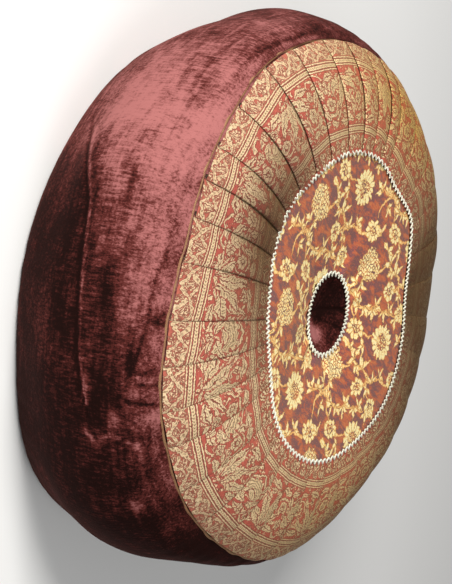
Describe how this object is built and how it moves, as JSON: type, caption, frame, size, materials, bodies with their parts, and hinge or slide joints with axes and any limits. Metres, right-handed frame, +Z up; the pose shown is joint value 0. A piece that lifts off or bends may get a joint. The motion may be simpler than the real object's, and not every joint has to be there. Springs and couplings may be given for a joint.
{
  "type": "round floor cushion",
  "caption": "Round filled floor cushion with a puffed velvet wall and a pleated brocade face round a flowered disc with a sunk velvet centre.",
  "frame": {"origin": "on the floor under the middle of the cushion's box, with the flat back on the floor", "axes": "+Z up out of the patterned face; +X and +Y lie in the floor, and the picture's view comes from -Y and above"},
  "size_m": [0.587, 0.5896, 0.2282],
  "materials": {
    "velvet": "crushed wine velvet, dark pile with a rose sheen",
    "brocade": "rose red brocade closely figured in dull gold thread",
    "flowered_cloth": "orange red cloth with violet shading and cream yellow flowers",
    "piping": "folded copper gold edging",
    "braid": "off-white wavy braid"
  },
  "bodies": {
    "root": {"velvet_body": "velvet", "centre_velvet": "velvet", "brocade_ring": "brocade", "flower_disc": "flowered_cloth", "seam_piping": "piping", "disc_braid": "braid", "centre_braid": "braid"}
  },
  "joints": []
}
